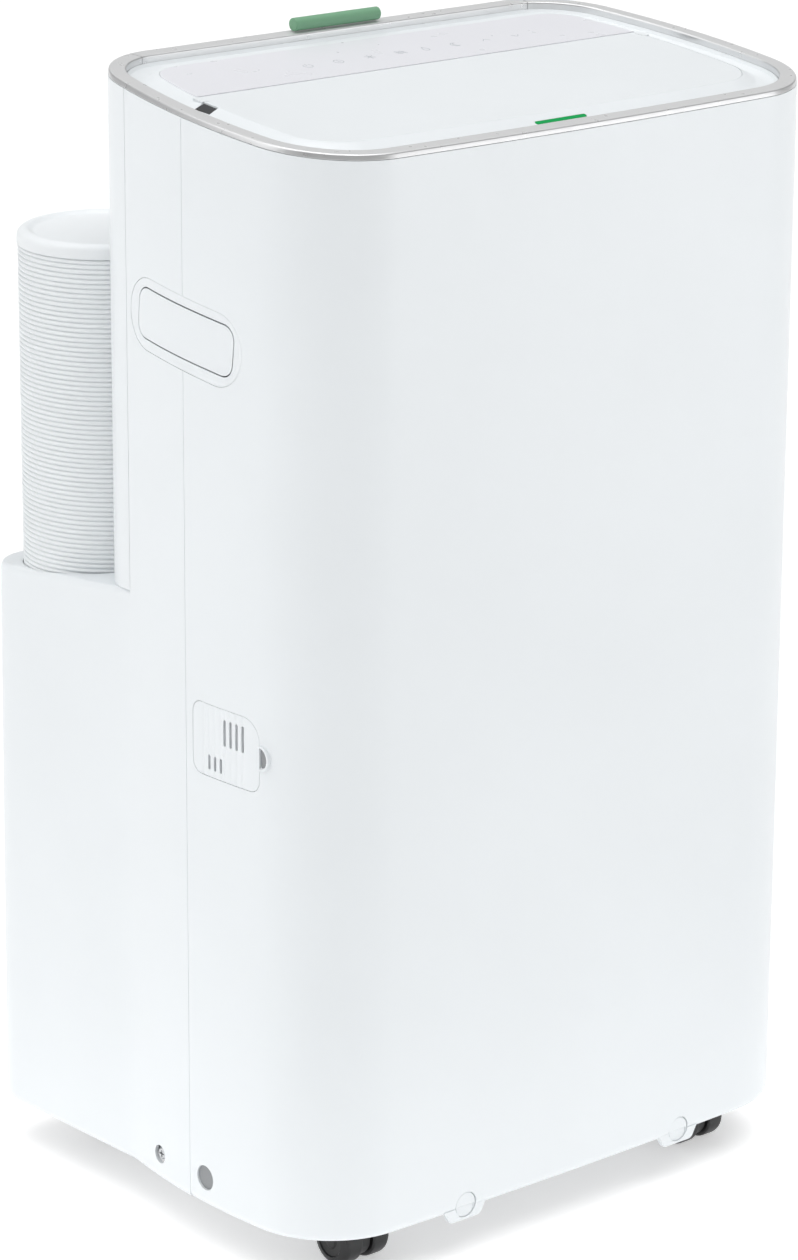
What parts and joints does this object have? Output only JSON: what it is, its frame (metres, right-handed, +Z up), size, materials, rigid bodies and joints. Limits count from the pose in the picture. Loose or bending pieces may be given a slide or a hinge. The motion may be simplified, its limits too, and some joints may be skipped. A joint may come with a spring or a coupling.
{
  "type": "portable air conditioner",
  "caption": "Free-standing portable air conditioner on casters with a top outlet flap, side grips and an upright exhaust hose at the rear.",
  "frame": {"origin": "on the floor, at the centre of the footprint's bounding box", "axes": "+Z up, front panel faces -Y, exhaust hose on the -X side of the rear"},
  "size_m": [0.4898, 0.4072, 0.8562],
  "materials": {
    "white_shell": "fine satin moulded plastic, cool white",
    "silver_rim": "satin silver paint",
    "control_surface": "smooth pale grey control surface",
    "green_pull": "satin green plastic",
    "status_light": "diffusing green light bar",
    "hose_plastic": "satin white plastic",
    "dark_plastic": "satin dark plastic",
    "grey_plastic": "matte grey plastic",
    "filter_mesh": "fine woven plastic mesh",
    "galvanised_steel": "galvanised steel",
    "aluminium_fins": "thin aluminium fins",
    "copper_tube": "bare copper tube",
    "black_paint": "black semi-gloss paint",
    "caster_plastic": "black satin plastic",
    "rubber": "moulded rubber",
    "screw_steel": "plated steel"
  },
  "bodies": {
    "casing": {"front_shell": "white_shell", "rear_shell": "white_shell", "upper_rear_panel": "white_shell", "top_deck": "white_shell", "air_duct": "white_shell", "handle_cup_left": "white_shell", "handle_cup_right": "white_shell", "condenser_grille": "white_shell", "top_rim": "silver_rim", "control_panel": "control_surface", "status_light_bar": "status_light", "sensor_tray": "dark_plastic", "power_cord_gland": "dark_plastic", "control_box": "dark_plastic", "base_pan": "grey_plastic", "hose_collar": "grey_plastic", "blower_scroll": "grey_plastic", "condenser_fan_scroll": "grey_plastic", "exhaust_duct": "grey_plastic", "drain_partition": "grey_plastic", "blower_motor": "galvanised_steel", "condenser_fan_motor": "galvanised_steel", "evaporator_coil": "aluminium_fins", "condenser_coil": "aluminium_fins", "discharge_pipe": "copper_tube", "suction_pipe": "copper_tube", "compressor": "black_paint", "accumulator": "black_paint", "compressor_mount_1": "rubber", "compressor_mount_2": "rubber", "compressor_mount_3": "rubber", "side_screw_left": "screw_steel", "side_screw_right": "screw_steel"},
    "flap": {"louvre_flap": "white_shell"},
    "vane_1": {"air_vane_1": "white_shell"},
    "vane_2": {"air_vane_2": "white_shell"},
    "vane_3": {"air_vane_3": "white_shell"},
    "vane_4": {"air_vane_4": "white_shell"},
    "vane_5": {"air_vane_5": "white_shell"},
    "filter": {"filter_frame": "silver_rim", "filter_mesh": "filter_mesh", "filter_pull": "green_pull"},
    "handle_left": {"handle_flap_left": "white_shell"},
    "handle_right": {"handle_flap_right": "white_shell"},
    "sensor_door": {"sensor_cover": "white_shell"},
    "catch_left": {"front_catch_left": "white_shell"},
    "catch_right": {"front_catch_right": "white_shell"},
    "caster_front_left": {"caster_fork_front_left": "caster_plastic"},
    "wheels_front_left": {"caster_wheels_front_left": "caster_plastic"},
    "caster_front_right": {"caster_fork_front_right": "caster_plastic"},
    "wheels_front_right": {"caster_wheels_front_right": "caster_plastic"},
    "caster_rear_left": {"caster_fork_rear_left": "caster_plastic"},
    "wheels_rear_left": {"caster_wheels_rear_left": "caster_plastic"},
    "caster_rear_right": {"caster_fork_rear_right": "caster_plastic"},
    "wheels_rear_right": {"caster_wheels_rear_right": "caster_plastic"},
    "hose_end": {"hose_end_cap": "hose_plastic", "exhaust_hose": "hose_plastic"},
    "blower": {"blower_wheel": "grey_plastic"},
    "condenser_fan": {"condenser_fan_wheel": "grey_plastic"},
    "drain_plug_body": {"drain_plug": "rubber"}
  },
  "joints": [
    {"name": "flap_hinge", "type": "hinge", "parent": "casing", "child": "flap", "pos_m": [0, -0.0326, 0.83062], "axis": [-1, 0, 0], "range_deg": [0, 60]},
    {"name": "vane_1_swing", "type": "hinge", "parent": "casing", "child": "vane_1", "pos_m": [-0.136, -0.099, 0.79795], "axis": [0, 1, 0], "range_deg": [-25, 25]},
    {"name": "vane_2_swing", "type": "hinge", "parent": "casing", "child": "vane_2", "pos_m": [-0.068, -0.099, 0.79795], "axis": [0, 1, 0], "range_deg": [-25, 25]},
    {"name": "vane_3_swing", "type": "hinge", "parent": "casing", "child": "vane_3", "pos_m": [0, -0.099, 0.79795], "axis": [0, 1, 0], "range_deg": [-25, 25]},
    {"name": "vane_4_swing", "type": "hinge", "parent": "casing", "child": "vane_4", "pos_m": [0.068, -0.099, 0.79795], "axis": [0, 1, 0], "range_deg": [-25, 25]},
    {"name": "vane_5_swing", "type": "hinge", "parent": "casing", "child": "vane_5", "pos_m": [0.136, -0.099, 0.79795], "axis": [0, 1, 0], "range_deg": [-25, 25]},
    {"name": "filter_slide", "type": "slide", "parent": "casing", "child": "filter", "axis": [0, 0, 1], "range_m": [0, 0.33]},
    {"name": "handle_left_hinge", "type": "hinge", "parent": "casing", "child": "handle_left", "pos_m": [-0.2392, -0.05377, 0.66254], "axis": [0, 0.9945, 0.1044], "range_deg": [0, 30], "stiffness_Nm_per_rad": 0.05, "springref_deg": -20.05},
    {"name": "handle_right_hinge", "type": "hinge", "parent": "casing", "child": "handle_right", "pos_m": [0.2392, -0.05377, 0.66254], "axis": [0, -0.9945, -0.1044], "range_deg": [0, 30], "stiffness_Nm_per_rad": 0.05, "springref_deg": -20.05},
    {"name": "sensor_cover_hinge", "type": "hinge", "parent": "casing", "child": "sensor_door", "pos_m": [-0.2425, -0.07675, 0.393], "axis": [0, 0, -1], "range_deg": [0, 75]},
    {"name": "catch_left_turn", "type": "hinge", "parent": "casing", "child": "catch_left", "pos_m": [-0.106, -0.202, 0.0415], "axis": [0, 1, 0], "range_deg": [0, 90]},
    {"name": "catch_right_turn", "type": "hinge", "parent": "casing", "child": "catch_right", "pos_m": [0.106, -0.202, 0.0415], "axis": [0, 1, 0], "range_deg": [0, 90]},
    {"name": "caster_front_left_swivel", "type": "hinge", "parent": "casing", "child": "caster_front_left", "pos_m": [-0.168, -0.137, 0.052], "axis": [0, 0, 1], "continuous": true},
    {"name": "wheels_front_left_spin", "type": "hinge", "parent": "caster_front_left", "child": "wheels_front_left", "pos_m": [-0.168, -0.149, 0.019], "axis": [1, 0, 0], "continuous": true},
    {"name": "caster_front_right_swivel", "type": "hinge", "parent": "casing", "child": "caster_front_right", "pos_m": [0.168, -0.137, 0.052], "axis": [0, 0, 1], "continuous": true},
    {"name": "wheels_front_right_spin", "type": "hinge", "parent": "caster_front_right", "child": "wheels_front_right", "pos_m": [0.168, -0.149, 0.019], "axis": [1, 0, 0], "continuous": true},
    {"name": "caster_rear_left_swivel", "type": "hinge", "parent": "casing", "child": "caster_rear_left", "pos_m": [-0.156, 0.142, 0.052], "axis": [0, 0, 1], "continuous": true},
    {"name": "wheels_rear_left_spin", "type": "hinge", "parent": "caster_rear_left", "child": "wheels_rear_left", "pos_m": [-0.156, 0.13, 0.019], "axis": [1, 0, 0], "continuous": true},
    {"name": "caster_rear_right_swivel", "type": "hinge", "parent": "casing", "child": "caster_rear_right", "pos_m": [0.156, 0.142, 0.052], "axis": [0, 0, 1], "continuous": true},
    {"name": "wheels_rear_right_spin", "type": "hinge", "parent": "caster_rear_right", "child": "wheels_rear_right", "pos_m": [0.156, 0.13, 0.019], "axis": [1, 0, 0], "continuous": true},
    {"name": "hose_extend", "type": "slide", "parent": "casing", "child": "hose_end", "axis": [0, 0, 1], "range_m": [0, 0.105], "deforming": ["exhaust_hose"]},
    {"name": "blower_spin", "type": "hinge", "parent": "casing", "child": "blower", "pos_m": [-0.012, -0.096, 0.612], "axis": [0, 1, 0], "continuous": true},
    {"name": "condenser_fan_spin", "type": "hinge", "parent": "casing", "child": "condenser_fan", "pos_m": [0.075, 0.04, 0.245], "axis": [0, 1, 0], "continuous": true},
    {"name": "drain_plug_pull", "type": "slide", "parent": "casing", "child": "drain_plug_body", "axis": [0, 1, 0], "range_m": [0, 0.03]}
  ],
  "couplings": [
    {"joint": "vane_2_swing", "follows": "vane_1_swing", "ratio": 1},
    {"joint": "vane_3_swing", "follows": "vane_1_swing", "ratio": 1},
    {"joint": "vane_4_swing", "follows": "vane_1_swing", "ratio": 1},
    {"joint": "vane_5_swing", "follows": "vane_1_swing", "ratio": 1}
  ]
}
